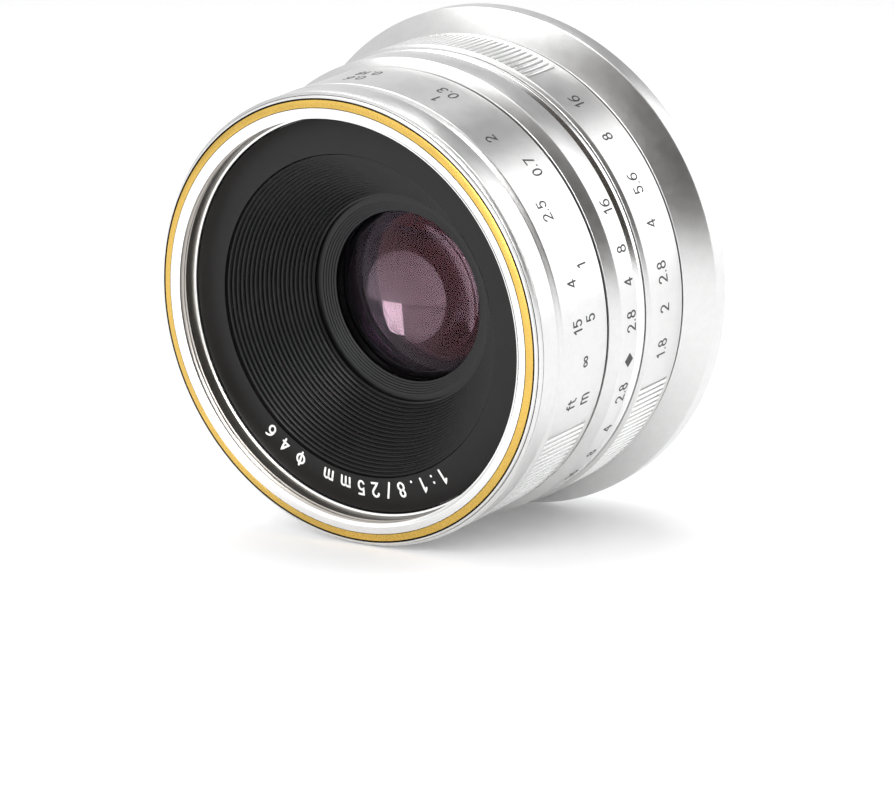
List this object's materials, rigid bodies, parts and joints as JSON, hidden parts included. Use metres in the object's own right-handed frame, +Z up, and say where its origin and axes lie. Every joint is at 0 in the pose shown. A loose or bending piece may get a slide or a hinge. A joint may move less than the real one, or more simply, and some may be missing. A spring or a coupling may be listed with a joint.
{
  "type": "prime camera lens",
  "caption": "Compact wide-aperture manual prime lens: knurled focus and aperture rings on a satin barrel, ridged front baffle, iris, and a three-lug bayonet at the rear.",
  "frame": {"origin": "centre of the mount seat, the rear face of the bayonet plate, on the optical axis", "axes": "+Y along the optical axis from front to rear, so the front looks along -Y; +Z up as the lens lies on its side; +X completes the frame, and the index mark lies about 13 degrees below +X"},
  "size_m": [0.059, 0.0392, 0.059],
  "materials": {
    "satin_aluminium": "bead-blasted satin silver anodised, fine grain",
    "polished_aluminium": "turned and polished",
    "gold_anodised": "bright gold anodised, diamond cut",
    "charcoal_satin": "charcoal satin anodised, white engraved lettering",
    "black_anodised": "matt black anodised, turned ridges",
    "mount_chrome": "satin chrome on brass, turned",
    "steel": "plain steel",
    "brass": "turned and lightly greased",
    "blade_steel": "matt black",
    "black_plastic": "fine matt mould grain",
    "dot_red": "red enamel",
    "coated_glass": "polished, magenta anti-reflection coating"
  },
  "bodies": {
    "fixed_body": {"bayonet_plate": "mount_chrome", "alignment_dot": "dot_red", "mount_screw_1": "steel", "mount_screw_2": "steel", "mount_screw_3": "steel", "mount_screw_4": "steel", "rear_housing": "satin_aluminium", "rear_baffle": "black_plastic", "fixed_barrel": "black_anodised", "depth_scale_ring": "satin_aluminium", "scale_trim_ring": "polished_aluminium", "guide_key_1": "steel", "guide_key_2": "steel", "focus_stop_screw": "steel"},
    "optics_body": {"front_barrel": "satin_aluminium", "accent_ring": "gold_anodised", "name_ring": "charcoal_satin", "cone_baffle": "black_anodised", "front_retainer": "black_anodised", "front_cell": "black_anodised", "iris_housing": "black_anodised", "rear_cell": "black_anodised", "rear_retainer": "black_anodised", "spacer_front": "black_anodised", "spacer_middle": "black_anodised", "spacer_rear": "black_anodised", "element_1": "coated_glass", "element_2": "coated_glass", "element_3": "coated_glass", "element_4": "coated_glass", "element_5": "coated_glass", "element_6": "coated_glass", "element_7": "coated_glass"},
    "focus_body": {"focus_ring": "satin_aluminium", "focus_helicoid": "brass"},
    "aperture_body": {"aperture_ring": "satin_aluminium", "aperture_pin_1": "steel", "aperture_pin_2": "steel", "aperture_fork": "black_anodised"},
    "iris_drive_body": {"iris_drive_ring": "brass"},
    "iris_blade_01_body": {"iris_blade_01": "blade_steel"},
    "iris_blade_02_body": {"iris_blade_02": "blade_steel"},
    "iris_blade_03_body": {"iris_blade_03": "blade_steel"},
    "iris_blade_04_body": {"iris_blade_04": "blade_steel"},
    "iris_blade_05_body": {"iris_blade_05": "blade_steel"},
    "iris_blade_06_body": {"iris_blade_06": "blade_steel"},
    "iris_blade_07_body": {"iris_blade_07": "blade_steel"},
    "iris_blade_08_body": {"iris_blade_08": "blade_steel"},
    "iris_blade_09_body": {"iris_blade_09": "blade_steel"},
    "iris_blade_10_body": {"iris_blade_10": "blade_steel"},
    "iris_blade_11_body": {"iris_blade_11": "blade_steel"},
    "iris_blade_12_body": {"iris_blade_12": "blade_steel"}
  },
  "joints": [
    {"name": "focus_turn", "type": "hinge", "parent": "fixed_body", "child": "focus_body", "pos_m": [0, -0.0245, 0], "axis": [0, 1, 0], "range_deg": [0, 106]},
    {"name": "optics_slide", "type": "slide", "parent": "fixed_body", "child": "optics_body", "axis": [0, -1, 0], "range_m": [0, 0.00482]},
    {"name": "aperture_turn", "type": "hinge", "parent": "fixed_body", "child": "aperture_body", "pos_m": [0, -0.00985, 0], "axis": [0, 1, 0], "range_deg": [0, 64.5]},
    {"name": "iris_drive_turn", "type": "hinge", "parent": "optics_body", "child": "iris_drive_body", "pos_m": [0, -0.0146, 0], "axis": [0, 1, 0], "range_deg": [0, 64.6]},
    {"name": "iris_blade_01_pivot", "type": "hinge", "parent": "optics_body", "child": "iris_blade_01_body", "pos_m": [0.0106, -0.0124, 0], "axis": [0, -1, 0], "range_deg": [0, 31.9]},
    {"name": "iris_blade_02_pivot", "type": "hinge", "parent": "optics_body", "child": "iris_blade_02_body", "pos_m": [0.00918, -0.01255, 0.0053], "axis": [0, -1, 0], "range_deg": [0, 31.9]},
    {"name": "iris_blade_03_pivot", "type": "hinge", "parent": "optics_body", "child": "iris_blade_03_body", "pos_m": [0.0053, -0.0127, 0.00918], "axis": [0, -1, 0], "range_deg": [0, 31.9]},
    {"name": "iris_blade_04_pivot", "type": "hinge", "parent": "optics_body", "child": "iris_blade_04_body", "pos_m": [0, -0.01285, 0.0106], "axis": [0, -1, 0], "range_deg": [0, 31.9]},
    {"name": "iris_blade_05_pivot", "type": "hinge", "parent": "optics_body", "child": "iris_blade_05_body", "pos_m": [-0.0053, -0.013, 0.00918], "axis": [0, -1, 0], "range_deg": [0, 31.9]},
    {"name": "iris_blade_06_pivot", "type": "hinge", "parent": "optics_body", "child": "iris_blade_06_body", "pos_m": [-0.00918, -0.01315, 0.0053], "axis": [0, -1, 0], "range_deg": [0, 31.9]},
    {"name": "iris_blade_07_pivot", "type": "hinge", "parent": "optics_body", "child": "iris_blade_07_body", "pos_m": [-0.0106, -0.0133, 0], "axis": [0, -1, 0], "range_deg": [0, 31.9]},
    {"name": "iris_blade_08_pivot", "type": "hinge", "parent": "optics_body", "child": "iris_blade_08_body", "pos_m": [-0.00918, -0.01345, -0.0053], "axis": [0, -1, 0], "range_deg": [0, 31.9]},
    {"name": "iris_blade_09_pivot", "type": "hinge", "parent": "optics_body", "child": "iris_blade_09_body", "pos_m": [-0.0053, -0.0136, -0.00918], "axis": [0, -1, 0], "range_deg": [0, 31.9]},
    {"name": "iris_blade_10_pivot", "type": "hinge", "parent": "optics_body", "child": "iris_blade_10_body", "pos_m": [0, -0.01375, -0.0106], "axis": [0, -1, 0], "range_deg": [0, 31.9]},
    {"name": "iris_blade_11_pivot", "type": "hinge", "parent": "optics_body", "child": "iris_blade_11_body", "pos_m": [0.0053, -0.0139, -0.00918], "axis": [0, -1, 0], "range_deg": [0, 31.9]},
    {"name": "iris_blade_12_pivot", "type": "hinge", "parent": "optics_body", "child": "iris_blade_12_body", "pos_m": [0.00918, -0.01405, -0.0053], "axis": [0, -1, 0], "range_deg": [0, 31.9]}
  ],
  "couplings": [
    {"joint": "optics_slide", "follows": "focus_turn", "m_per_rad": 0.0026},
    {"joint": "iris_drive_turn", "follows": "aperture_turn", "ratio": 1},
    {"joint": "iris_blade_01_pivot", "follows": "aperture_turn", "ratio": 0.493},
    {"joint": "iris_blade_02_pivot", "follows": "aperture_turn", "ratio": 0.493},
    {"joint": "iris_blade_03_pivot", "follows": "aperture_turn", "ratio": 0.493},
    {"joint": "iris_blade_04_pivot", "follows": "aperture_turn", "ratio": 0.493},
    {"joint": "iris_blade_05_pivot", "follows": "aperture_turn", "ratio": 0.493},
    {"joint": "iris_blade_06_pivot", "follows": "aperture_turn", "ratio": 0.493},
    {"joint": "iris_blade_07_pivot", "follows": "aperture_turn", "ratio": 0.493},
    {"joint": "iris_blade_08_pivot", "follows": "aperture_turn", "ratio": 0.493},
    {"joint": "iris_blade_09_pivot", "follows": "aperture_turn", "ratio": 0.493},
    {"joint": "iris_blade_10_pivot", "follows": "aperture_turn", "ratio": 0.493},
    {"joint": "iris_blade_11_pivot", "follows": "aperture_turn", "ratio": 0.493},
    {"joint": "iris_blade_12_pivot", "follows": "aperture_turn", "ratio": 0.493}
  ]
}
